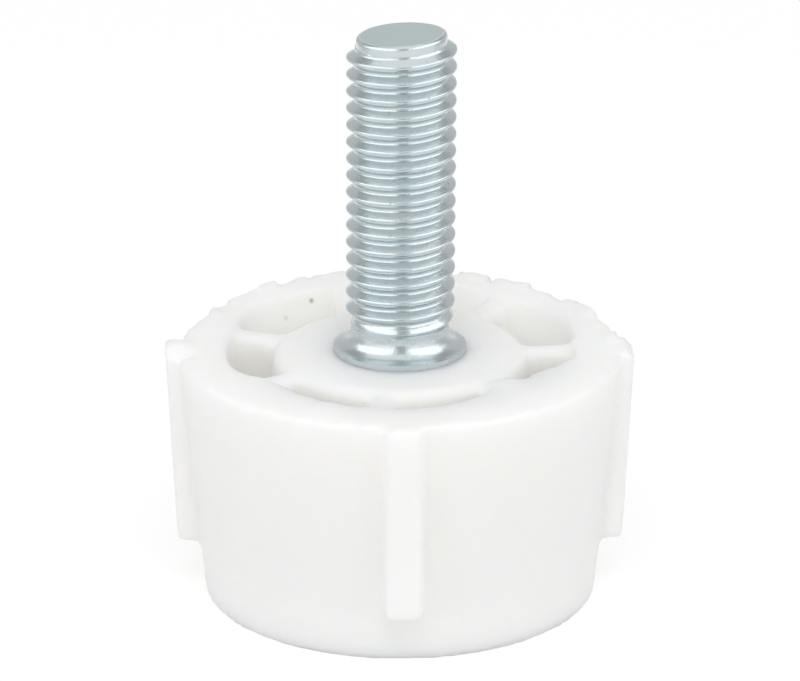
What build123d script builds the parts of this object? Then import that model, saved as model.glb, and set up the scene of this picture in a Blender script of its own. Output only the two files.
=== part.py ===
from build123d import *

import os

# Adjustable foot of a dishwasher: a moulded foot with a steel stud set in its boss.
# Millimetres, Z up. The origin is the centre of the flat base that stands on the floor.

# Cup of the foot, wider at its rim than at its base
foot_height = 18.35
rim_radius = 16.0
base_radius = 14.25
rim_wall = 3.45
floor_wall = 3.05
floor_thickness = 2.8
base_chamfer = 0.4

# Boss in the middle of the cup, which holds the stud
boss_radius = 9.2
boss_draft = 0.3
boss_drop = 0.1
boss_edge_round = 1.0

# Webs that tie the boss to the wall, with a pocket between each two
web_count = 7
web_start_angle = 4.4
web_thickness = 1.9
web_drop = 0.35
web_edge_round = 0.8
web_overlap = 0.5

# Grip ribs on the outside of the wall
rib_count = 4
rib_width = 2.55
rib_rise_at_rim = 0.93
rib_rise_at_end = 1.61
rib_end_height = 3.8
rib_edge_round = 0.4
rib_overlap = 1.0

# Stud, with the thread taken at its outer diameter
thread_diameter = 8.0
stud_reach = 23.5
end_diameter = 6.2
end_chamfer_length = 1.2
neck_diameter = 6.9
neck_height = 1.6
thread_start_height = 2.3
collar_diameter = 9.6
collar_edge_height = 0.4

# Anchor of the stud inside the boss, with a groove and two flats that the plastic grips
anchor_diameter = 8.4
anchor_length = 11.0
anchor_chamfer = 0.5
groove_diameter = 6.6
groove_width = 2.0
groove_height = 4.0
flat_count = 2
flat_distance = 3.6

# Heights that follow from the sizes above
boss_height = foot_height - boss_drop
web_height = foot_height - web_drop
stud_height = boss_height + stud_reach
anchor_bottom = boss_height - anchor_length


def wall_radius(height):
    """Outer radius of the cup wall at a height above the floor."""
    return base_radius + (rim_radius - base_radius) * height / foot_height


def turned(*lines):
    """Revolves a half section whose lines run on from each other, from the axis back to the axis."""
    closing = Line(lines[-1] @ 1, lines[0] @ 0)
    section = make_face([edge for line in (*lines, closing) for edge in line.edges()])
    return revolve(Plane.XZ * section, Axis.Z)


def make_shell():
    """Outside of the foot as a full solid: tapered wall with an eased base edge, and the grip ribs on it."""
    wall = Polyline(
        (0, 0),
        (base_radius - base_chamfer, 0),
        (wall_radius(base_chamfer), base_chamfer),
        (rim_radius, foot_height),
        (0, foot_height),
    )
    return turned(wall) + [place * make_rib() for place in PolarLocations(0, rib_count)]


def make_hollow():
    """Space inside the wall and round the boss, up to the level of the rim."""
    boss = FilletPolyline(
        (0, boss_height),
        (boss_radius, boss_height),
        (boss_radius + boss_draft, floor_thickness),
        radius=boss_edge_round,
    )
    wall = Polyline(
        boss @ 1,
        (wall_radius(floor_thickness) - floor_wall, floor_thickness),
        (rim_radius - rim_wall, foot_height),
        (0, foot_height),
    )
    return turned(boss, wall)


def make_web():
    """One web along X, let into the boss and the wall, with a rounded top."""
    start = boss_radius - web_overlap
    end = rim_radius - rim_wall + web_overlap
    bottom = floor_thickness - web_overlap
    profile = Rectangle(web_thickness, web_height - bottom, align=(Align.CENTER, Align.MIN))
    bar = extrude(Plane.YZ.offset(start) * Pos(0, bottom) * profile, end - start)
    return fillet(bar.edges().filter_by(Axis.X).group_by(Axis.Z)[-1], web_edge_round)


def make_rib():
    """One grip rib on the X side, let into the wall, with rounded front edges."""
    side = Polyline(
        (wall_radius(rib_end_height) - rib_overlap, rib_end_height),
        (wall_radius(rib_end_height) + rib_rise_at_end, rib_end_height),
        (rim_radius + rib_rise_at_rim, foot_height),
        (rim_radius - rib_overlap, foot_height),
        close=True,
    )
    bar = extrude(Plane.XZ * make_face(side), rib_width / 2, both=True)
    front_edges = bar.faces().sort_by(Axis.X)[-1].edges().filter_by(Axis.Y, reverse=True)
    return fillet(front_edges, rib_edge_round)


def make_stud():
    """Steel stud: anchor, collar, neck and thread on one axis."""
    thread_radius = thread_diameter / 2
    anchor_radius = anchor_diameter / 2
    collar_radius = collar_diameter / 2
    neck_radius = neck_diameter / 2
    groove_radius = groove_diameter / 2
    collar_edge = (collar_radius, boss_height + collar_edge_height)
    neck = (neck_radius, boss_height + neck_height)
    groove_bottom = anchor_bottom + groove_height
    groove_top = groove_bottom + groove_width
    anchor = Polyline(
        (0, anchor_bottom),
        (anchor_radius - anchor_chamfer, anchor_bottom),
        (anchor_radius, anchor_bottom + anchor_chamfer),
        (anchor_radius, groove_bottom),
        (groove_radius, groove_bottom),
        (groove_radius, groove_top),
        (anchor_radius, groove_top),
        (anchor_radius, boss_height),
        (collar_radius, boss_height),
        collar_edge,
    )
    flare = TangentArc(neck, collar_edge, tangent=(0, -1))
    shank = Polyline(
        neck,
        (thread_radius, boss_height + thread_start_height),
        (thread_radius, stud_height - end_chamfer_length),
        (end_diameter / 2, stud_height),
        (0, stud_height),
    )
    flat = Pos(0, 0, anchor_bottom) * Box(
        anchor_radius, anchor_diameter, anchor_length, align=(Align.MIN, Align.CENTER, Align.MIN)
    )
    flats = [place * flat for place in PolarLocations(flat_distance, flat_count)]
    return turned(anchor, flare, shank) - flats


def make_foot(stud):
    """Moulded foot: shell, boss and webs as one solid, shaped round the anchor of the stud."""
    cup = make_shell() - make_hollow()
    web = make_web()
    webs = [place * web for place in PolarLocations(0, web_count, start_angle=web_start_angle)]
    return cup + webs - stud


os.makedirs("parts", exist_ok=True)
stud = make_stud()
export_step(make_foot(stud), "parts/foot_body.step")
export_step(stud, "parts/threaded_stud.step")
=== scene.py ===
"""Dresses the adjustable dishwasher foot: a white moulded foot with a zinc plated threaded stud.

Shapes are modelled in millimetres in the frame of the CAD model, and scaled to metres when they are finished.
"""

import logging
import math
from dataclasses import dataclass
from enum import Enum
from typing import Any

import bmesh
import bpy
from mathutils import Matrix, Vector, noise

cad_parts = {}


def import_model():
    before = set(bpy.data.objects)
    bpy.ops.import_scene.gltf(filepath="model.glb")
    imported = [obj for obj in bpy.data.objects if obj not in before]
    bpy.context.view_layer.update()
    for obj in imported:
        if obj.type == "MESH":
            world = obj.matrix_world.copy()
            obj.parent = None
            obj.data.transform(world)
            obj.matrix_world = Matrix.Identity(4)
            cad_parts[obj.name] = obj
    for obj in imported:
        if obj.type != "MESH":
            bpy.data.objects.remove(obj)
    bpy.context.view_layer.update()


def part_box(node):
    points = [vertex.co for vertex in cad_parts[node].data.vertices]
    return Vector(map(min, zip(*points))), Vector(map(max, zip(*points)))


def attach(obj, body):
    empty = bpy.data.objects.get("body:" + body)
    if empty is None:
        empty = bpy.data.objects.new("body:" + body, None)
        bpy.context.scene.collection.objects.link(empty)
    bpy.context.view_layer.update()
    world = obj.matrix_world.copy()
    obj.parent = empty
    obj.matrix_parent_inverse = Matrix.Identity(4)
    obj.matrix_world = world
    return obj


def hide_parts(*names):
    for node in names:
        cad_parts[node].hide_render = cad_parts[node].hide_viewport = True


LOG = logging.getLogger("dishwasher_foot")
MM = 0.001
FULL_TURN = 2 * math.pi
BODY = "root"
PHOTO_WIDTH = 800

# Gap in millimetres within which points are welded, and within which a point lies on a cut
WELD_GAP = 0.001
CUT_GAP = 0.0001

# Places of a Mix node's colour sockets: its two inputs and its result
COLOUR_A, COLOUR_B, COLOUR_MIX = 6, 7, 2

# Steps to parts of the noise that no other pattern uses
LIFT_SHIFT = Vector((3, 5, 2))
SPREAD_SHIFT = Vector((7, 3, 1))

# Flash along the front of the rim and at the back of the boss: direction in degrees and reach in millimetres,
# below zero towards the axis
INNER_FLASH = (
    (-165.0, 0.0),
    (-158.0, -0.3),
    (-150.0, -1.0),
    (-140.0, -1.4),
    (-125.0, -1.0),
    (-110.0, -0.6),
    (-85.0, -0.6),
    (-70.0, -1.0),
    (-60.0, -1.6),
    (-53.0, -2.3),
    (-48.0, -3.0),
    (-39.0, -3.1),
    (-37.0, -1.8),
    (-30.0, -1.75),
    (-21.5, -1.4),
    (-20.0, -0.95),
    (-15.0, -0.6),
    (-11.0, -0.1),
    (-6.0, 0.0),
)
BOSS_FLASH = ((46.0, 0.0), (48.0, 0.5), (58.0, 0.45), (62.0, 0.0))


class Node(Enum):
    """CAD nodes that the visual pieces stand for."""

    FOOT = "foot_body"
    STUD = "threaded_stud"


class Slot(Enum):
    """Material slots of the record."""

    WHITE_PLASTIC = "white_plastic"
    ZINC_STEEL = "zinc_steel"


def linear(hex_colour: str) -> tuple[float, float, float, float]:
    """Turns an sRGB hex colour into linear light.

    Args:
        hex_colour: Colour such as "#F2F1EE".

    Returns:
        Red, green, blue and a full alpha.
    """
    channels = [int(hex_colour[i : i + 2], 16) / 255 for i in (1, 3, 5)]
    red, green, blue = (c / 12.92 if c <= 0.04045 else ((c + 0.055) / 1.055) ** 2.4 for c in channels)
    return red, green, blue, 1.0


def add_node(
    tree: bpy.types.NodeTree, kind: str, inputs: dict[str | int, Any] | None = None, **settings: Any
) -> bpy.types.Node:
    """Adds a node with its settings and links.

    Args:
        tree: Node tree that takes the node.
        kind: Type name of the node.
        inputs: A value, or the output socket to link, for each input by name or place.
        settings: Properties of the node itself.

    Returns:
        The new node.
    """
    node = tree.nodes.new(kind)
    for name, value in settings.items():
        setattr(node, name, value)
    for name, value in (inputs or {}).items():
        if isinstance(value, bpy.types.NodeSocket):
            tree.links.new(value, node.inputs[name])
        else:
            node.inputs[name].default_value = value
    return node


def per_metre(size_mm: float) -> float:
    """Texture scale at which one repeat of a pattern has this size in millimetres."""
    return 1 / (size_mm * MM)


def smooth_step(value: float, low: float, high: float) -> float:
    """Eases a value from 0 at low to 1 at high.

    Args:
        value: The value to ease.
        low: Where the result is 0.
        high: Where the result is 1.

    Returns:
        A number from 0 to 1.
    """
    share = min(max((value - low) / (high - low), 0.0), 1.0)
    return share * share * (3 - 2 * share)


def azimuth_of(point: Vector) -> float:
    """Direction of a point round the axis in degrees, 0 at +X and 90 at +Y."""
    return math.degrees(math.atan2(point.y, point.x))


def turned_from(azimuth: float, centre: float) -> float:
    """Signed angle in degrees from one direction round the axis to another, within half a turn."""
    return (azimuth - centre + 180) % 360 - 180


def draw_section(bm: bmesh.types.BMesh, points: list[tuple[float, float]]) -> list[bmesh.types.BMVert]:
    """Draws a half section as a wire in the XZ plane.

    Args:
        bm: Mesh that takes the wire.
        points: Radius and height of each corner.

    Returns:
        The corners in order.
    """
    corners = [bm.verts.new((radius, 0, height)) for radius, height in points]
    for pair in zip(corners, corners[1:]):
        bm.edges.new(pair)
    return corners


def round_corners(
    bm: bmesh.types.BMesh, corners: list[bmesh.types.BMVert], size: float, segments: int
) -> None:
    """Rounds corners of a wire.

    Args:
        bm: Mesh that holds the wire.
        corners: Vertices to round.
        size: Distance from the corner to where its round starts.
        segments: Number of edges in each round.
    """
    bmesh.ops.bevel(
        bm,
        geom=corners,
        offset=size,
        offset_type="OFFSET",
        segments=segments,
        profile=0.5,
        affect="VERTICES",
        material=-1,
    )


def bevel_edges(bm: bmesh.types.BMesh, edges: list[bmesh.types.BMEdge], size: float, segments: int) -> None:
    """Rounds edges of a solid.

    Args:
        bm: Mesh that holds the edges.
        edges: Edges to round.
        size: Distance from each edge to where its round starts.
        segments: Number of faces across each round.
    """
    bmesh.ops.bevel(
        bm,
        geom=edges,
        offset=size,
        offset_type="OFFSET",
        segments=segments,
        profile=0.5,
        affect="EDGES",
        clamp_overlap=True,
        material=-1,
    )


def turn_round(bm: bmesh.types.BMesh, angle: float) -> None:
    """Turns everything in a mesh round the axis by an angle in degrees."""
    bmesh.ops.rotate(bm, verts=bm.verts, cent=(0, 0, 0), matrix=Matrix.Rotation(math.radians(angle), 3, "Z"))


def repeat_round(bm: bmesh.types.BMesh, count: int, start: float) -> None:
    """Turns everything in a mesh to a first place round the axis, and copies it to the others.

    Args:
        bm: Mesh with one piece.
        count: Number of places round the axis.
        start: Direction of the first place in degrees.
    """
    turn_round(bm, start)
    bmesh.ops.spin(
        bm,
        geom=[*bm.verts, *bm.edges, *bm.faces],
        cent=(0, 0, 0),
        axis=(0, 0, 1),
        angle=FULL_TURN * (count - 1) / count,
        steps=count - 1,
        use_duplicate=True,
    )


def join(bm: bmesh.types.BMesh, other: bmesh.types.BMesh) -> None:
    """Adds another mesh to a mesh, and frees the other.

    Args:
        bm: Mesh that grows.
        other: Mesh whose geometry is added.
    """
    carrier = bpy.data.meshes.new("carrier")
    other.to_mesh(carrier)
    other.free()
    bm.from_mesh(carrier)
    bpy.data.meshes.remove(carrier)


def new_object(bm: bmesh.types.BMesh, name: str, material: bpy.types.Material) -> bpy.types.Object:
    """Turns a mesh into a shown object at the origin.

    Args:
        bm: Finished mesh, which is freed.
        name: Name of the object.
        material: Finish of the whole object.

    Returns:
        The new object.
    """
    mesh = bpy.data.meshes.new(name)
    bm.to_mesh(mesh)
    bm.free()
    mesh.materials.append(material)
    obj = bpy.data.objects.new(name, mesh)
    bpy.context.scene.collection.objects.link(obj)
    return obj


def finished_object(bm: bmesh.types.BMesh, name: str, material: bpy.types.Material) -> bpy.types.Object:
    """Turns a mesh in millimetres into a smooth shown object in metres.

    Args:
        bm: Finished mesh, which is freed.
        name: Name of the object.
        material: Finish of the whole object.

    Returns:
        The new object.
    """
    bmesh.ops.scale(bm, vec=(MM, MM, MM), verts=bm.verts)
    for face in bm.faces:
        face.smooth = True
    return new_object(bm, name, material)


@dataclass(frozen=True)
class Speck:
    """A dark speck painted on the plastic, grime for most and painted shade for the one at the boss flash:
    its place and radius in millimetres, and how dark it is, from 0 to 1.
    """

    place: tuple[float, float, float]
    radius: float
    darkness: float


# Dark specks painted on the plastic: grime on the back inner wall, painted shade at the flash on the boss's
# back edge, and darker marks at the nicks on the back rim
GRIME_AND_SHADE_SPECKS = (
    # Grime on the back inner wall, one dark and one faint
    Speck((-6.43, 11.7, 17.75), 0.27, 1.0),
    Speck((-8.33, 10.0, 17.0), 0.28, 0.35),
    # Painted shade at the flash on the boss's back edge
    Speck((6.8, 6.1, 18.15), 0.26, 0.7),
    # Darker marks at the nicks on the back rim's edge
    Speck((6.0, 14.8, 18.8), 0.35, 0.6),
    Speck((7.5, 14.1, 18.9), 0.3, 0.6),
)


@dataclass(frozen=True)
class MouldedPolypropylene:
    """White polypropylene, injection moulded in a lightly grained tool.

    The eye sees a soft even white with a broad weak gloss, light that bleeds a little way through thin walls,
    a faint grain, a few specks of grime from the store, and a dark speck of painted shade at the boss flash.
    """

    colour: str = "#FAF9F6"
    shaded_colour: str = "#F7F6F2"
    speck_colour: str = "#A59C8C"
    roughness: float = 0.46
    glow: float = 1.0
    glow_depth_mm: float = 3.0
    glow_spread: tuple[float, float, float] = (1.0, 0.92, 0.8)
    grain_mm: float = 0.35
    grain_detail: float = 2.0
    grain_height_mm: float = 0.012
    wave_mm: float = 6.0
    wave_detail: float = 3.0
    wave_height_mm: float = 0.03
    speck_cell_mm: float = 5.0
    speck_radius_mm: float = 0.14
    specked_share: float = 0.12
    grime_and_shade_specks: tuple[Speck, ...] = GRIME_AND_SHADE_SPECKS

    def material(self) -> bpy.types.Material:
        """Builds the finish.

        Returns:
            The new material.
        """
        material = bpy.data.materials.new("white polypropylene, moulded")
        material.use_nodes = True
        tree = material.node_tree
        shader = tree.nodes["Principled BSDF"]
        place = add_node(tree, "ShaderNodeTexCoord").outputs["Object"]
        clouds = add_node(
            tree,
            "ShaderNodeTexNoise",
            {"Vector": place, "Scale": per_metre(self.wave_mm), "Detail": self.wave_detail},
        )
        body_colour = add_node(
            tree,
            "ShaderNodeMix",
            {
                "Factor": clouds.outputs["Fac"],
                COLOUR_A: linear(self.colour),
                COLOUR_B: linear(self.shaded_colour),
            },
            data_type="RGBA",
        )
        cells = add_node(
            tree, "ShaderNodeTexVoronoi", {"Vector": place, "Scale": per_metre(self.speck_cell_mm)}
        )
        near = add_node(
            tree,
            "ShaderNodeMath",
            {0: cells.outputs["Distance"], 1: self.speck_radius_mm / self.speck_cell_mm},
            operation="LESS_THAN",
        )
        chosen = add_node(
            tree, "ShaderNodeMath", {0: cells.outputs["Color"], 1: self.specked_share}, operation="LESS_THAN"
        )
        marks = add_node(
            tree, "ShaderNodeMath", {0: near.outputs[0], 1: chosen.outputs[0]}, operation="MULTIPLY"
        )
        # Listed specks, darkest in their middles: grime, and painted shade at the flash on the boss
        for speck in self.grime_and_shade_specks:
            gap = add_node(
                tree,
                "ShaderNodeVectorMath",
                {0: place, 1: [along * MM for along in speck.place]},
                operation="DISTANCE",
            )
            close = add_node(
                tree,
                "ShaderNodeMapRange",
                {
                    "Value": gap.outputs["Value"],
                    "From Max": speck.radius * MM,
                    "To Min": speck.darkness,
                    "To Max": 0.0,
                },
            )
            marks = add_node(
                tree, "ShaderNodeMath", {0: marks.outputs[0], 1: close.outputs[0]}, operation="MAXIMUM"
            )
        colour = add_node(
            tree,
            "ShaderNodeMix",
            {
                "Factor": marks.outputs[0],
                COLOUR_A: body_colour.outputs[COLOUR_MIX],
                COLOUR_B: linear(self.speck_colour),
            },
            data_type="RGBA",
        )
        grain = add_node(
            tree,
            "ShaderNodeTexNoise",
            {"Vector": place, "Scale": per_metre(self.grain_mm), "Detail": self.grain_detail},
        )
        waves = add_node(
            tree,
            "ShaderNodeBump",
            {"Strength": 1.0, "Distance": self.wave_height_mm * MM, "Height": clouds.outputs["Fac"]},
        )
        relief = add_node(
            tree,
            "ShaderNodeBump",
            {
                "Strength": 1.0,
                "Distance": self.grain_height_mm * MM,
                "Height": grain.outputs["Fac"],
                "Normal": waves.outputs["Normal"],
            },
        )
        tree.links.new(colour.outputs[COLOUR_MIX], shader.inputs["Base Color"])
        tree.links.new(relief.outputs["Normal"], shader.inputs["Normal"])
        shader.inputs["Roughness"].default_value = self.roughness
        shader.inputs["Subsurface Weight"].default_value = self.glow
        shader.inputs["Subsurface Radius"].default_value = self.glow_spread
        shader.inputs["Subsurface Scale"].default_value = self.glow_depth_mm * MM
        return material


@dataclass(frozen=True)
class ZincPlatedSteel:
    """Rolled steel with a bright zinc plating and a blue passivation.

    The eye sees a pale metal with a bluish tint that comes and goes, drawn out along the thread by the
    rolling, with soft broken reflections and small dull pits on the crests.
    """

    name: str = "zinc plated steel, rolled"
    colour: str = "#D3D9D9"
    tint_colour: str = "#C8D5DB"
    tint_mm: float = 2.5
    dull_colour: str = "#B0B9BB"
    roughness: float = 0.25
    dull_roughness: float = 0.5
    streak_length_mm: float = 5.0
    streak_width_mm: float = 0.16
    streak_detail: float = 3.0
    streak_height_mm: float = 0.012
    pit_mm: float = 0.45
    pit_detail: float = 3.0
    pit_roughness: float = 0.6
    pit_depth_mm: float = 0.02
    dull_from: float = 0.64
    dull_full: float = 0.78

    def material(self) -> bpy.types.Material:
        """Builds the finish.

        Returns:
            The new material.
        """
        material = bpy.data.materials.new(self.name)
        material.use_nodes = True
        tree = material.node_tree
        shader = tree.nodes["Principled BSDF"]
        place = add_node(tree, "ShaderNodeTexCoord").outputs["Object"]
        along = per_metre(self.streak_length_mm)
        drawn_out = add_node(
            tree,
            "ShaderNodeMapping",
            {"Vector": place, "Scale": (along, along, per_metre(self.streak_width_mm))},
        )
        streaks = add_node(
            tree,
            "ShaderNodeTexNoise",
            {"Vector": drawn_out.outputs["Vector"], "Scale": 1.0, "Detail": self.streak_detail},
        )
        pits = add_node(
            tree,
            "ShaderNodeTexNoise",
            {
                "Vector": place,
                "Scale": per_metre(self.pit_mm),
                "Detail": self.pit_detail,
                "Roughness": self.pit_roughness,
            },
        )
        dull = add_node(
            tree,
            "ShaderNodeMapRange",
            {"Value": pits.outputs["Fac"], "From Min": self.dull_from, "From Max": self.dull_full},
        )
        patches = add_node(tree, "ShaderNodeTexNoise", {"Vector": place, "Scale": per_metre(self.tint_mm)})
        tinted = add_node(
            tree,
            "ShaderNodeMix",
            {
                "Factor": patches.outputs["Fac"],
                COLOUR_A: linear(self.colour),
                COLOUR_B: linear(self.tint_colour),
            },
            data_type="RGBA",
        )
        colour = add_node(
            tree,
            "ShaderNodeMix",
            {
                "Factor": dull.outputs["Result"],
                COLOUR_A: tinted.outputs[COLOUR_MIX],
                COLOUR_B: linear(self.dull_colour),
            },
            data_type="RGBA",
        )
        roughness = add_node(
            tree,
            "ShaderNodeMapRange",
            {"Value": dull.outputs["Result"], "To Min": self.roughness, "To Max": self.dull_roughness},
        )
        pitted = add_node(
            tree,
            "ShaderNodeBump",
            {"Strength": 1.0, "Distance": self.pit_depth_mm * MM, "Height": pits.outputs["Fac"]},
        )
        relief = add_node(
            tree,
            "ShaderNodeBump",
            {
                "Strength": 1.0,
                "Distance": self.streak_height_mm * MM,
                "Height": streaks.outputs["Fac"],
                "Normal": pitted.outputs["Normal"],
            },
        )
        tree.links.new(colour.outputs[COLOUR_MIX], shader.inputs["Base Color"])
        tree.links.new(roughness.outputs["Result"], shader.inputs["Roughness"])
        tree.links.new(relief.outputs["Normal"], shader.inputs["Normal"])
        shader.inputs["Metallic"].default_value = 1.0
        return material


@dataclass(frozen=True)
class Nick:
    """A bump or a nick at one place of the rim.

    Its azimuth and half width are in degrees, its other sizes in millimetres, a nick's rise below zero. The
    depth is how far it goes in from the rim's outer edge, the fade is the length over which it ends there,
    and flat is the share of its width without slope.
    """

    azimuth: float
    half_width: float
    rise: float
    spread: float = 0.0
    depth: float = 1.4
    fade: float = 0.9
    flat: float = 0.5

    def share_at(self, azimuth: float, inset: float) -> float:
        """Finds how much of the bump is reached at a place of the rim, with steep ends.

        Args:
            azimuth: Direction round the axis in degrees.
            inset: Distance in from the rim's outer edge.

        Returns:
            A share from 0 to 1.
        """
        turn = abs(turned_from(azimuth, self.azimuth))
        along = 1 - smooth_step(turn, self.half_width * self.flat, self.half_width)
        return along * (1 - smooth_step(inset, self.depth - self.fade, self.depth))


RIM_NICKS = (
    Nick(179.0, 4.0, 0.4, 0.15),
    Nick(186.0, 2.0, -0.25),
    Nick(167.0, 3.0, 0.12),
    Nick(150.3, 1.3, 0.4),
    Nick(146.3, 2.0, 0.14),
    Nick(134.2, 9.2, 0.32, flat=0.85),
    Nick(128.5, 3.6, 0.25),
    Nick(117.4, 2.4, 0.3),
    Nick(112.0, 3.2, 0.18, flat=0.6),
    Nick(106.5, 3.5, 0.32),
    Nick(98.0, 44.0, 0.3, depth=4.4),
    Nick(68.0, 5.0, 0.36, flat=0.8),
    Nick(62.2, 1.5, -0.2),
    Nick(56.6, 6.3, 0.46, 0.05, flat=0.82),
    Nick(47.0, 4.0, 0.14, 0.05, flat=0.7),
    Nick(30.7, 7.8, 0.26, 0.2, flat=0.75),
    Nick(27.0, 3.2, 0.18),
    Nick(6.5, 4.0, 0.3, 0.1),
    Nick(0.0, 8.0, -0.45, depth=-0.3, fade=0.5),
)


@dataclass(frozen=True)
class FlashFin:
    """Flash that was squeezed out of an edge of the moulding, with a torn edge of its own.

    The reach lists directions round the axis in degrees, in order, and how far the fin stands out there in
    millimetres, below zero towards the axis. The other sizes are in millimetres. The tears are full where the
    fin reaches at least as far as tatter_reach, and finer tears lie over the coarse ones.
    """

    radius: float
    height: float
    reach: tuple[tuple[float, float], ...]
    root: float = 0.8
    thickness: float = 0.75
    tatter: float = 0.2
    tatter_mm: float = 0.8
    tatter_reach: float = 0.25
    fine_share: float = 0.5
    fine_scale: float = 2.7
    lift: float = 0.0
    lift_base: float = 0.2
    lift_scale: float = 0.8
    steps_per_degree: float = 2.0

    def reach_at(self, azimuth: float) -> float:
        """Finds how far the fin stands out in one direction.

        Args:
            azimuth: Direction round the axis in degrees.

        Returns:
            The reach, read between the listed directions.
        """
        for (start, near), (end, far) in zip(self.reach, self.reach[1:]):
            turn = turned_from(azimuth, start)
            if 0 <= turn <= end - start:
                return near + (far - near) * turn / (end - start)
        return 0.0

    def mesh(self) -> bmesh.types.BMesh:
        """Spins the section of the fin along its edge, then draws its free edge out and tears it.

        Returns:
            The fin as a closed mesh.
        """
        bm = bmesh.new()
        start, end = self.reach[0][0], self.reach[-1][0]
        inward = min(reach for _, reach in self.reach) < 0
        root = self.radius + (self.root if inward else -self.root)
        bottom = self.height - self.thickness
        section = bm.faces.new(
            [
                bm.verts.new((root, 0, self.height)),
                bm.verts.new((self.radius, 0, self.height)),
                bm.verts.new((self.radius, 0, bottom)),
                bm.verts.new((root, 0, bottom)),
            ]
        )
        turn_round(bm, start)
        bmesh.ops.spin(
            bm,
            geom=[section],
            cent=(0, 0, 0),
            axis=(0, 0, 1),
            angle=math.radians(end - start),
            steps=round((end - start) * self.steps_per_degree),
        )
        for vert in bm.verts:
            if abs(math.hypot(vert.co.x, vert.co.y) - self.radius) < self.root / 2:
                self._draw_out(vert)
        bmesh.ops.recalc_face_normals(bm, faces=bm.faces)
        return bm

    def _draw_out(self, vert: bmesh.types.BMVert) -> None:
        """Moves one point of the free edge to its torn place.

        Args:
            vert: Point of the free edge.
        """
        outward = Vector((vert.co.x, vert.co.y, 0)).normalized()
        along = outward * self.radius / self.tatter_mm
        torn = noise.noise(along) + self.fine_share * noise.noise(along * self.fine_scale)
        reach = self.reach_at(azimuth_of(vert.co))
        vert.co += outward * (reach + self.tatter * torn * min(abs(reach) / self.tatter_reach, 1.0))
        lifted = self.lift_base + noise.noise(along * self.lift_scale + LIFT_SHIFT)
        vert.co.z += self.lift * max(lifted, 0.0)


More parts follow.
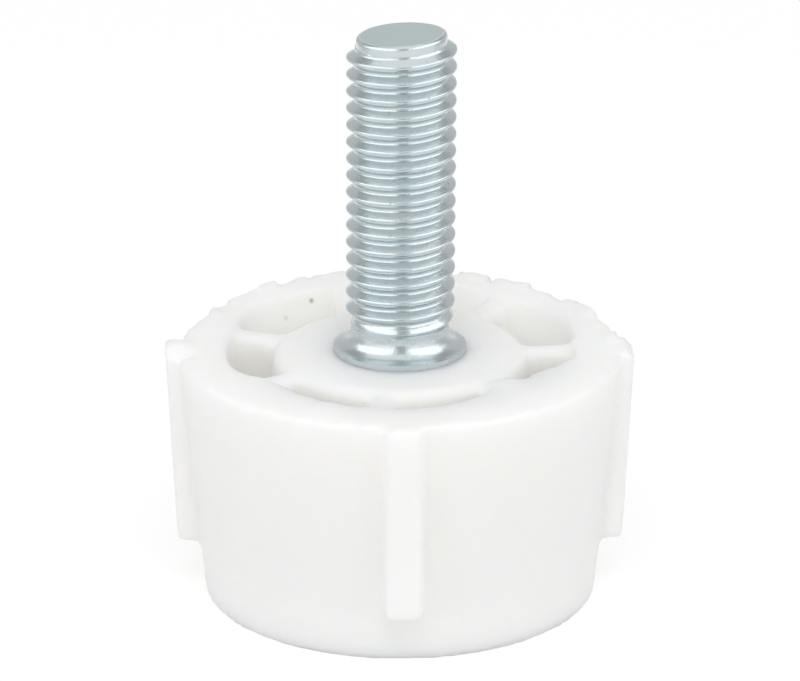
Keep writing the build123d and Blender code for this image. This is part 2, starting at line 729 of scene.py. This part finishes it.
@dataclass
class MouldedFoot:
    """The white foot, one moulding: tapered cup, boss, webs and grip ribs, with flash on its edges.

    Sizes are in millimetres and angles in degrees. The height comes from the CAD node. The flare thins the
    rim at the back, the ragged sizes are of the flash along its outer edge, and the boss fin is the flash on
    the edge of the boss.
    """

    finish: MouldedPolypropylene
    height: float
    rim_radius: float = 16.0
    base_radius: float = 14.25
    rim_wall: float = 3.45
    floor_thickness: float = 2.8
    floor_wall: float = 3.05
    boss_radius: float = 9.2
    boss_foot_radius: float = 9.5
    boss_drop: float = 0.1
    boss_round: float = 0.9
    boss_round_steps: int = 6
    bore_radius: float = 4.2
    bore_depth: float = 11.0
    web_count: int = 7
    web_start: float = 4.4
    web_thickness: float = 1.9
    web_drop: float = 0.3
    web_overlap: float = 0.6
    web_round: float = 0.8
    web_round_steps: int = 5
    rib_count: int = 4
    rib_width: float = 2.6
    rib_rise_at_rim: float = 0.95
    rib_rise_at_end: float = 1.65
    rib_end_height: float = 3.75
    rib_overlap: float = 1.0
    rib_round: float = 0.3
    rib_round_steps: int = 3
    turn_steps: int = 256
    fuse_size: float = 0.28
    soften_share: float = 0.5
    soften_passes: int = 7
    flare: float = 0.9
    flare_azimuth: float = 85.0
    flare_half_width: float = 84.0
    flare_flat: float = 0.65
    flare_depth: float = 3.0
    flare_inset: float = 0.3
    flare_reach: float = 3.0
    ragged_depth: float = 0.8
    ragged_full_inset: float = 0.5
    ragged_end_inset: float = 1.4
    ragged_rise: float = 0.13
    ragged_spread: float = 0.12
    ragged_mm: float = 1.3
    ragged_fine_share: float = 0.6
    ragged_fine_scale: float = 2.3
    ragged_spread_scale: float = 1.4
    boss_fin_inset: float = 0.3
    boss_fin_lift: float = 0.5
    nicks: tuple[Nick, ...] = RIM_NICKS

    def wall_radius(self, height: float) -> float:
        """Outer radius of the wall at a height above the floor."""
        return self.base_radius + (self.rim_radius - self.base_radius) * height / self.height

    def build(self) -> bpy.types.Object:
        """Models the foot and hangs it in the frame.

        Returns:
            The finished object.
        """
        rough = self._cup()
        join(rough, self._webs())
        join(rough, self._ribs())
        for fin in self._fins():
            join(rough, fin.mesh())
        moulding = self._fused(rough)
        for vert in moulding.verts:
            self._flare(vert)
            self._roughen(vert)
        foot = finished_object(moulding, "moulded_foot", self.finish.material())
        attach(foot, BODY)
        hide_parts(Node.FOOT.value)
        return foot

    def _cup(self) -> bmesh.types.BMesh:
        """Spins the half section of the wall, the floor and the boss, with the bore for the stud.

        Returns:
            A closed mesh.
        """
        bm = bmesh.new()
        boss_top = self.height - self.boss_drop
        bore_bottom = boss_top - self.bore_depth
        corners = draw_section(
            bm,
            [
                (0, 0),
                (self.base_radius, 0),
                (self.rim_radius, self.height),
                (self.rim_radius - self.rim_wall, self.height),
                (self.wall_radius(self.floor_thickness) - self.floor_wall, self.floor_thickness),
                (self.boss_foot_radius, self.floor_thickness),
                (self.boss_radius, boss_top),
                (self.bore_radius, boss_top),
                (self.bore_radius, bore_bottom),
                (0, bore_bottom),
            ],
        )
        round_corners(bm, [corners[6]], self.boss_round, self.boss_round_steps)
        bmesh.ops.spin(
            bm,
            geom=[*bm.verts, *bm.edges],
            cent=(0, 0, 0),
            axis=(0, 0, 1),
            angle=FULL_TURN,
            steps=self.turn_steps,
            use_merge=True,
        )
        bmesh.ops.remove_doubles(bm, verts=bm.verts, dist=WELD_GAP)
        bmesh.ops.recalc_face_normals(bm, faces=bm.faces)
        return bm

    def _webs(self) -> bmesh.types.BMesh:
        """Makes the webs between boss and wall, let into both.

        Returns:
            The webs as closed bars.
        """
        bm = bmesh.new()
        start = self.boss_radius - self.web_overlap
        end = self.rim_radius - self.rim_wall + self.web_overlap
        bottom = self.floor_thickness - self.web_overlap
        top = self.height - self.web_drop
        half_way = (bottom + top) / 2
        size = Matrix.Diagonal((end - start, self.web_thickness, top - bottom, 1))
        middle = Matrix.Translation(((start + end) / 2, 0, half_way))
        bmesh.ops.create_cube(bm, size=1.0, matrix=middle @ size)
        top_edges = [edge for edge in bm.edges if all(vert.co.z > half_way for vert in edge.verts)]
        long_edges = [edge for edge in top_edges if edge.verts[0].co.y * edge.verts[1].co.y > 0]
        bevel_edges(bm, long_edges, self.web_round, self.web_round_steps)
        repeat_round(bm, self.web_count, self.web_start)
        return bm

    def _ribs(self) -> bmesh.types.BMesh:
        """Makes the tapered grip ribs, let into the wall.

        Returns:
            The ribs as closed bars.
        """
        bm = bmesh.new()
        half_way = (self.height + self.rib_end_height) / 2
        size = Matrix.Diagonal((1, self.rib_width, self.height - self.rib_end_height, 1))
        middle = Matrix.Translation((0, 0, half_way))
        bmesh.ops.create_cube(bm, size=1.0, matrix=middle @ size)
        for vert in bm.verts:
            low = vert.co.z < half_way
            wall = self.wall_radius(self.rib_end_height) if low else self.rim_radius
            rise = self.rib_rise_at_end if low else self.rib_rise_at_rim
            vert.co.x = wall + rise if vert.co.x > 0 else wall - self.rib_overlap
        front = [edge for edge in bm.edges if all(vert.co.x > self.rim_radius for vert in edge.verts)]
        bevel_edges(bm, front, self.rib_round, self.rib_round_steps)
        repeat_round(bm, self.rib_count, 0.0)
        return bm

    def _fins(self) -> tuple[FlashFin, FlashFin]:
        """Places the flash on the inner edge of the rim and on the edge of the boss.

        Returns:
            The two fins.
        """
        boss_fin_radius = self.boss_radius - self.boss_fin_inset
        boss_top = self.height - self.boss_drop
        return (
            FlashFin(self.rim_radius - self.rim_wall, self.height, INNER_FLASH),
            FlashFin(boss_fin_radius, boss_top, BOSS_FLASH, lift=self.boss_fin_lift),
        )

    def _fused(self, rough: bmesh.types.BMesh) -> bmesh.types.BMesh:
        """Fuses the overlapping solids into one skin and softens its edges and inner corners.

        Args:
            rough: Closed solids that overlap, which is freed.

        Returns:
            One closed skin.
        """
        mesh = bpy.data.meshes.new("rough foot")
        rough.to_mesh(mesh)
        rough.free()
        carrier = bpy.data.objects.new("rough foot", mesh)
        bpy.context.scene.collection.objects.link(carrier)
        fuse = carrier.modifiers.new("fuse", "REMESH")
        fuse.mode = "VOXEL"
        fuse.voxel_size = self.fuse_size
        soften = carrier.modifiers.new("soften", "SMOOTH")
        soften.factor = self.soften_share
        soften.iterations = self.soften_passes
        skin = bmesh.new()
        skin.from_object(carrier, bpy.context.evaluated_depsgraph_get())
        bpy.data.objects.remove(carrier)
        bpy.data.meshes.remove(mesh)
        return skin

    def _flare(self, vert: bmesh.types.BMVert) -> None:
        """Moves a point of the wall's inside outwards at the back, where the rim is thinner.

        Args:
            vert: Point of the skin.
        """
        outward = Vector((vert.co.x, vert.co.y, 0))
        inner = self.rim_radius - self.rim_wall
        across = smooth_step(outward.length, inner - self.flare_reach, inner - self.flare_inset) * (
            1 - smooth_step(outward.length, inner + self.flare_inset, inner + self.flare_reach)
        )
        turn = abs(turned_from(azimuth_of(vert.co), self.flare_azimuth))
        around = 1 - smooth_step(turn, self.flare_half_width * self.flare_flat, self.flare_half_width)
        share = across * around * smooth_step(vert.co.z, self.height - self.flare_depth, self.height)
        if share > 0:
            vert.co += outward.normalized() * self.flare * share

    def _roughen(self, vert: bmesh.types.BMVert) -> None:
        """Moves a point near the top of the rim by the ragged flash and the nicks there.

        Args:
            vert: Point of the skin.
        """
        outward = Vector((vert.co.x, vert.co.y, 0))
        inset = self.rim_radius - outward.length
        share = smooth_step(vert.co.z, self.height - self.ragged_depth, self.height)
        if share == 0:
            return
        outward.normalize()
        along = outward * self.rim_radius / self.ragged_mm
        fine = self.ragged_fine_share * noise.noise(along * self.ragged_fine_scale)
        ragged = noise.noise(along) + fine
        spread_out = noise.noise(along * self.ragged_spread_scale + SPREAD_SHIFT)
        edge = 1 - smooth_step(inset, self.ragged_full_inset, self.ragged_end_inset)
        rise, spread = self.ragged_rise * ragged * edge, self.ragged_spread * spread_out * edge
        for nick in self.nicks:
            reached = nick.share_at(azimuth_of(vert.co), inset)
            rise += nick.rise * reached
            spread += nick.spread * reached
        vert.co += outward * spread * share
        vert.co.z += rise * share


@dataclass
class ThreadedStud:
    """The steel stud, one piece: rolled thread, neck, flared collar and the anchor inside the boss.

    Sizes are in millimetres and angles in degrees. The height of the end and that of the seat on the boss
    come from the CAD nodes. The left crest depth is how far the first crest on the left lies below the end.
    """

    finish: ZincPlatedSteel
    end_finish: ZincPlatedSteel
    end_height: float
    seat_height: float
    pitch: float = 1.25
    crest_radius: float = 3.93
    root_radius: float = 3.3
    crest_flat: float = 0.18
    root_flat: float = 0.26
    crest_round: float = 0.08
    root_round: float = 0.12
    round_steps: int = 3
    left_crest_depth: float = 0.32
    steps_per_turn: int = 128
    spare_turns: int = 2
    thread_bottom: float = 1.75
    runout_top: float = 3.1
    blank_radius: float = 3.5
    end_radius: float = 2.95
    end_round: float = 0.3
    end_round_steps: int = 3
    pilot_length: float = 0.7
    lead_slope: float = 1.5
    end_tilt: float = 3.0
    end_rise: float = 0.1
    lean: float = 0.3
    collar_radius: float = 4.8
    collar_edge: float = 0.4
    flare_steps: int = 6
    anchor_radius: float = 4.2
    anchor_depth: float = 11.0
    anchor_chamfer: float = 0.5
    sharp_angle: float = 40.0

    def build(self) -> bpy.types.Object:
        """Models the stud and hangs it in the frame.

        Returns:
            The finished object.
        """
        bm = self._thread()
        self._shape_ends(bm)
        self._lower_end(bm)
        bmesh.ops.recalc_face_normals(bm, faces=bm.faces)
        bmesh.ops.rotate(
            bm,
            verts=bm.verts,
            cent=(0, 0, self.seat_height),
            matrix=Matrix.Rotation(math.radians(self.lean), 3, "Y"),
        )
        stud = finished_object(bm, "zinc_plated_stud", self.finish.material())
        stud.data.materials.append(self.end_finish.material())
        stud.data.set_sharp_from_angle(angle=math.radians(self.sharp_angle))
        flanks = stud.modifiers.new("flat flanks", "WEIGHTED_NORMAL")
        flanks.keep_sharp = True
        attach(stud, BODY)
        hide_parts(Node.STUD.value)
        return stud

    def _thread(self) -> bmesh.types.BMesh:
        """Spins one pitch of the thread along its helix, repeats it and trims it to the shank.

        Returns:
            The thread as an open tube.
        """
        bm = bmesh.new()
        middle = self.pitch / 2
        corners = draw_section(
            bm,
            [
                (self.root_radius, 0),
                (self.root_radius, self.root_flat / 2),
                (self.crest_radius, middle - self.crest_flat / 2),
                (self.crest_radius, middle + self.crest_flat / 2),
                (self.root_radius, self.pitch - self.root_flat / 2),
                (self.root_radius, self.pitch),
            ],
        )
        round_corners(bm, corners[2:4], self.crest_round, self.round_steps)
        round_corners(bm, [corners[1], corners[4]], self.root_round, self.round_steps)
        bmesh.ops.spin(
            bm,
            geom=[*bm.verts, *bm.edges],
            cent=(0, 0, 0),
            axis=(0, 0, 1),
            dvec=(0, 0, self.pitch / self.steps_per_turn),
            angle=FULL_TURN,
            steps=self.steps_per_turn,
        )
        bottom = self.seat_height + self.thread_bottom
        turns = math.ceil((self.end_height - bottom) / self.pitch) + self.spare_turns
        first = self.end_height - self.left_crest_depth - turns * self.pitch
        bmesh.ops.translate(bm, verts=bm.verts, vec=(0, 0, first))
        one_turn = [*bm.verts, *bm.edges, *bm.faces]
        for turn in range(1, turns + 1):
            copied = bmesh.ops.duplicate(bm, geom=one_turn)["geom"]
            verts = [item for item in copied if isinstance(item, bmesh.types.BMVert)]
            bmesh.ops.translate(bm, verts=verts, vec=(0, 0, turn * self.pitch))
        bmesh.ops.remove_doubles(bm, verts=bm.verts, dist=WELD_GAP)
        end, across = self._end_plane()
        cuts = [
            (Vector((0, 0, bottom)), Vector((0, 0, -1)), True),
            (end, across, True),
            (end - across * self.pilot_length, across, False),
        ]
        for step in range(1, self.end_round_steps + 1):
            depth = self.end_round * (1 - math.cos(math.pi / 2 * step / self.end_round_steps))
            cuts.append((end - across * depth, across, False))
        for point, normal, trims in cuts:
            bmesh.ops.bisect_plane(
                bm,
                geom=[*bm.verts, *bm.edges, *bm.faces],
                dist=CUT_GAP,
                plane_co=point,
                plane_no=normal,
                clear_outer=trims,
            )
        return bm

    def _end_plane(self) -> tuple[Vector, Vector]:
        """Places the sheared end, which leans a little to one side.

        Returns:
            The middle of the end and the way that it faces.
        """
        tilt = math.radians(self.end_tilt)
        middle = Vector((0, 0, self.end_height + self.end_rise))
        return middle, Vector((-math.sin(tilt), 0, math.cos(tilt)))

    def _pilot(self, depth: float) -> float:
        """Finds the radius that the end of the stud allows.

        Args:
            depth: Distance below the end.

        Returns:
            The largest radius there.
        """
        left = max(self.end_round - depth, 0.0)
        rounded = self.end_radius + math.sqrt(max(self.end_round**2 - left**2, 0.0))
        return rounded + max(depth - self.pilot_length, 0.0) * self.lead_slope

    def _shape_ends(self, bm: bmesh.types.BMesh) -> None:
        """Turns the end of the thread to a pilot, runs its start out into the neck, and closes the end.

        Args:
            bm: The open thread.
        """
        bottom = self.seat_height + self.thread_bottom
        end, across = self._end_plane()
        for vert in bm.verts:
            radius = math.hypot(vert.co.x, vert.co.y)
            allowed = min(radius, self._pilot((end - vert.co).dot(across)))
            depth = smooth_step(vert.co.z, bottom, self.seat_height + self.runout_top)
            shaped = self.blank_radius + (allowed - self.blank_radius) * depth
            vert.co.x *= shaped / radius
            vert.co.y *= shaped / radius
        rim = [e for e in bm.edges if e.is_boundary and e.verts[0].co.z > self.end_height - self.pitch]
        for face in bmesh.ops.contextual_create(bm, geom=rim)["faces"]:
            face.material_index = 1

    def _lower_end(self, bm: bmesh.types.BMesh) -> None:
        """Extrudes the neck, the flared collar and the anchor down from the thread, and closes the anchor.

        Args:
            bm: The thread, open at its lower end.
        """
        ring = [edge for edge in bm.edges if edge.is_boundary]
        radius, height = self.blank_radius, self.seat_height + self.thread_bottom
        flare_rise = self.thread_bottom - self.collar_edge
        flare_spread = self.collar_radius - self.blank_radius
        profile = []
        for step in range(1, self.flare_steps + 1):
            angle = math.pi / 2 * step / self.flare_steps
            profile.append(
                (
                    self.blank_radius + flare_spread * (1 - math.cos(angle)),
                    self.seat_height + self.collar_edge + flare_rise * (1 - math.sin(angle)),
                )
            )
        anchor_bottom = self.seat_height - self.anchor_depth
        profile += [
            (self.collar_radius, self.seat_height),
            (self.anchor_radius, self.seat_height),
            (self.anchor_radius, anchor_bottom + self.anchor_chamfer),
            (self.anchor_radius - self.anchor_chamfer, anchor_bottom),
        ]
        for next_radius, next_height in profile:
            grown = bmesh.ops.extrude_edge_only(bm, edges=ring)["geom"]
            ring = [item for item in grown if isinstance(item, bmesh.types.BMEdge)]
            verts = [item for item in grown if isinstance(item, bmesh.types.BMVert)]
            growth = next_radius / radius
            bmesh.ops.scale(bm, vec=(growth, growth, 1), verts=verts)
            bmesh.ops.translate(bm, verts=verts, vec=(0, 0, next_height - height))
            radius, height = next_radius, next_height
        bmesh.ops.contextual_create(bm, geom=ring)


@dataclass(frozen=True)
class Softbox:
    """A square studio softbox that faces the object. The gloss mirrors the cards instead of it.

    Angles are in degrees, azimuth 0 at the front and 90 at the right. Sizes are in metres and power in watts.
    """

    name: str
    azimuth: float
    elevation: float
    distance: float
    size: float
    power: float

    def place(self, target: Vector) -> None:
        """Puts the light up, turned to a point.

        Args:
            target: Point that the light faces.
        """
        lamp = bpy.data.lights.new(self.name, "AREA")
        lamp.shape = "SQUARE"
        lamp.size = self.size
        lamp.energy = self.power
        outward = direction(self.azimuth, self.elevation)
        obj = bpy.data.objects.new(self.name, lamp)
        obj.location = target + outward * self.distance
        obj.rotation_euler = outward.to_track_quat("Z", "Y").to_euler()
        obj.visible_glossy = False
        bpy.context.scene.collection.objects.link(obj)


@dataclass(frozen=True)
class Card:
    """A bright or dark card that only mirrors in the gloss, as a photographer hangs them round metal.

    Angles are in degrees, azimuth 0 at the front and 90 at the right. Sizes are in metres, and a brightness
    of 1 is as white as the background.
    """

    name: str
    azimuth: float
    elevation: float
    distance: float
    width: float
    height: float
    brightness: float

    def place(self, target: Vector) -> None:
        """Hangs the card, turned to a point.

        Args:
            target: Point that the card faces.
        """
        material = bpy.data.materials.new(self.name)
        material.use_nodes = True
        tree = material.node_tree
        glow = add_node(tree, "ShaderNodeEmission", {"Strength": self.brightness})
        tree.links.new(glow.outputs["Emission"], tree.nodes["Material Output"].inputs["Surface"])
        outward = direction(self.azimuth, self.elevation)
        place = Matrix.Translation(target + outward * self.distance)
        turn = outward.to_track_quat("Z", "Y").to_matrix().to_4x4()
        size = Matrix.Diagonal((self.width, self.height, 1, 1))
        bm = bmesh.new()
        bmesh.ops.create_grid(bm, x_segments=1, y_segments=1, size=0.5, matrix=place @ turn @ size)
        card = new_object(bm, self.name, material)
        card.visible_camera = False
        card.visible_diffuse = False
        card.visible_transmission = False
        card.visible_shadow = False


def direction(azimuth: float, elevation: float) -> Vector:
    """Unit vector from the object to a place in the studio.

    Args:
        azimuth: Degrees round the object, 0 at the front and 90 at the right.
        elevation: Degrees above the horizon.

    Returns:
        The direction.
    """
    turn, lift = math.radians(azimuth), math.radians(elevation)
    return Vector((math.sin(turn) * math.cos(lift), -math.cos(turn) * math.cos(lift), math.sin(lift)))


@dataclass
class Studio:
    """White floor, soft light all round, softboxes, cards for the metal to mirror, and the camera.

    Lengths are in metres unless a name says millimetres, angles in degrees.
    """

    target_mm: float = 18.85
    camera_azimuth: float = -1.0
    camera_elevation: float = 20.2
    camera_distance: float = 0.34
    pixels_per_mm: float = 13.85
    sensor_mm: float = 36.0
    floor_radius: float = 3.0
    floor_steps: int = 96
    background_colour: str = "#FFFFFF"
    floor_colour: str = "#EFEFEF"
    floor_glow: float = 0.72
    floor_share: float = 0.36
    fill: float = 0.62
    diffuse_bounces: int = 10
    softboxes: tuple[Softbox, ...] = (
        Softbox("softbox above", 0.0, 60.0, 0.9, 0.5, 2.6),
        Softbox("softbox left", -62.0, 22.0, 0.8, 0.4, 0.8),
        Softbox("softbox right", 62.0, 22.0, 0.8, 0.4, 0.8),
    )
    cards: tuple[Card, ...] = (
        Card("card left", -60.0, 38.0, 0.5, 0.95, 0.36, 1.7),
        Card("card right", 64.0, 38.0, 0.5, 0.85, 0.36, 1.7),
        Card("card front", 1.0, 30.0, 0.3, 0.14, 0.26, 0.45),
        Card("card low left", -112.0, 4.0, 0.15, 0.13, 0.07, 0.6),
        Card("card low right", 112.0, 4.0, 0.15, 0.13, 0.07, 0.6),
        Card("card back left", -146.0, 18.0, 0.25, 0.26, 0.16, 0.65),
        Card("card back right", 146.0, 18.0, 0.25, 0.26, 0.16, 0.65),
        Card("card high left", -141.0, 45.0, 0.25, 0.18, 0.1, 0.42),
        Card("card high right", 141.0, 45.0, 0.25, 0.18, 0.1, 0.42),
    )

    def build(self) -> None:
        """Puts up the floor, the light and the camera."""
        bpy.context.scene.view_settings.view_transform = "Standard"
        bpy.context.scene.cycles.diffuse_bounces = self.diffuse_bounces
        target = Vector((0, 0, self.target_mm * MM))
        self._world()
        self._floor()
        for softbox in self.softboxes:
            softbox.place(target)
        for card in self.cards:
            card.place(target)
        self._camera(target)

    def _seen(self, tree: bpy.types.NodeTree) -> bpy.types.NodeSocket:
        """Tells rays that show the background from rays that light the object.

        Args:
            tree: Node tree of the world or the floor.

        Returns:
            A socket that is 1 for camera, glossy and transmission rays.
        """
        path = add_node(tree, "ShaderNodeLightPath").outputs
        seen = add_node(
            tree, "ShaderNodeMath", {0: path["Is Camera Ray"], 1: path["Is Glossy Ray"]}, operation="MAXIMUM"
        )
        seen = add_node(
            tree, "ShaderNodeMath", {0: seen.outputs[0], 1: path["Is Transmission Ray"]}, operation="MAXIMUM"
        )
        return seen.outputs[0]

    def _world(self) -> None:
        """Makes the soft light all round, with a white background where it is seen."""
        world = bpy.data.worlds.new("white studio")
        world.use_nodes = True
        bpy.context.scene.world = world
        tree = world.node_tree
        strength = add_node(
            tree, "ShaderNodeMapRange", {"Value": self._seen(tree), "To Min": self.fill, "To Max": 1.0}
        )
        tree.links.new(strength.outputs["Result"], tree.nodes["Background"].inputs["Strength"])
        tree.nodes["Background"].inputs["Color"].default_value = linear(self.background_colour)

    def _floor(self) -> None:
        """Lays the pale floor: plain paper to the light, near white to the eye, with the object's shadow."""
        material = bpy.data.materials.new("white studio paper")
        material.use_nodes = True
        tree = material.node_tree
        paper = add_node(tree, "ShaderNodeBsdfDiffuse", {"Color": linear(self.floor_colour)})
        glow = add_node(tree, "ShaderNodeEmission", {"Strength": self.floor_glow / (1 - self.floor_share)})
        shown = add_node(
            tree,
            "ShaderNodeMixShader",
            {0: self.floor_share, 1: glow.outputs["Emission"], 2: paper.outputs["BSDF"]},
        )
        mixed = add_node(
            tree,
            "ShaderNodeMixShader",
            {0: self._seen(tree), 1: paper.outputs["BSDF"], 2: shown.outputs["Shader"]},
        )
        tree.links.new(mixed.outputs["Shader"], tree.nodes["Material Output"].inputs["Surface"])
        bm = bmesh.new()
        bmesh.ops.create_circle(bm, cap_ends=True, segments=self.floor_steps, radius=self.floor_radius)
        floor = new_object(bm, "floor", material)

    def _camera(self, target: Vector) -> None:
        """Sets the camera where the photograph was taken from.

        Args:
            target: Point in the middle of the picture.
        """
        lens = bpy.data.cameras.new("camera")
        lens.sensor_fit = "HORIZONTAL"
        lens.sensor_width = self.sensor_mm
        shown_width = PHOTO_WIDTH / self.pixels_per_mm * MM
        lens.lens = self.sensor_mm * self.camera_distance / shown_width
        outward = direction(self.camera_azimuth, self.camera_elevation)
        camera = bpy.data.objects.new("camera", lens)
        camera.location = target + outward * self.camera_distance
        camera.rotation_euler = outward.to_track_quat("Z", "Y").to_euler()
        bpy.context.scene.collection.objects.link(camera)
        bpy.context.scene.camera = camera


def report(piece: bpy.types.Object) -> None:
    """Logs the name of a finished piece and its number of triangles."""
    LOG.info("%s: %d triangles", piece.name, sum(len(face.vertices) - 2 for face in piece.data.polygons))


def main() -> None:
    """Builds the pieces in order from the tops of both CAD boxes, logs their triangles and sets the studio.
    """
    logging.basicConfig(level=logging.INFO, format="%(message)s")
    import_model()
    foot_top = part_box(Node.FOOT.value)[1][2] / MM
    stud_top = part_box(Node.STUD.value)[1][2] / MM
    foot = MouldedFoot(finish=MouldedPolypropylene(), height=foot_top)
    report(foot.build())
    stud = ThreadedStud(
        finish=ZincPlatedSteel(),
        # The sheared end is rougher metal; its darker colours are partly its own and partly painted shade for
        # the dimmer reflection that the end face takes
        end_finish=ZincPlatedSteel(
            name="zinc plated steel, sheared, with painted shade",
            colour="#BBC6C6",
            tint_colour="#B7C5C7",
            dull_colour="#B1BBBC",
            roughness=0.42,
        ),
        end_height=stud_top,
        seat_height=foot_top - foot.boss_drop,
    )
    report(stud.build())
    Studio().build()


if __name__ == "__main__":
    main()
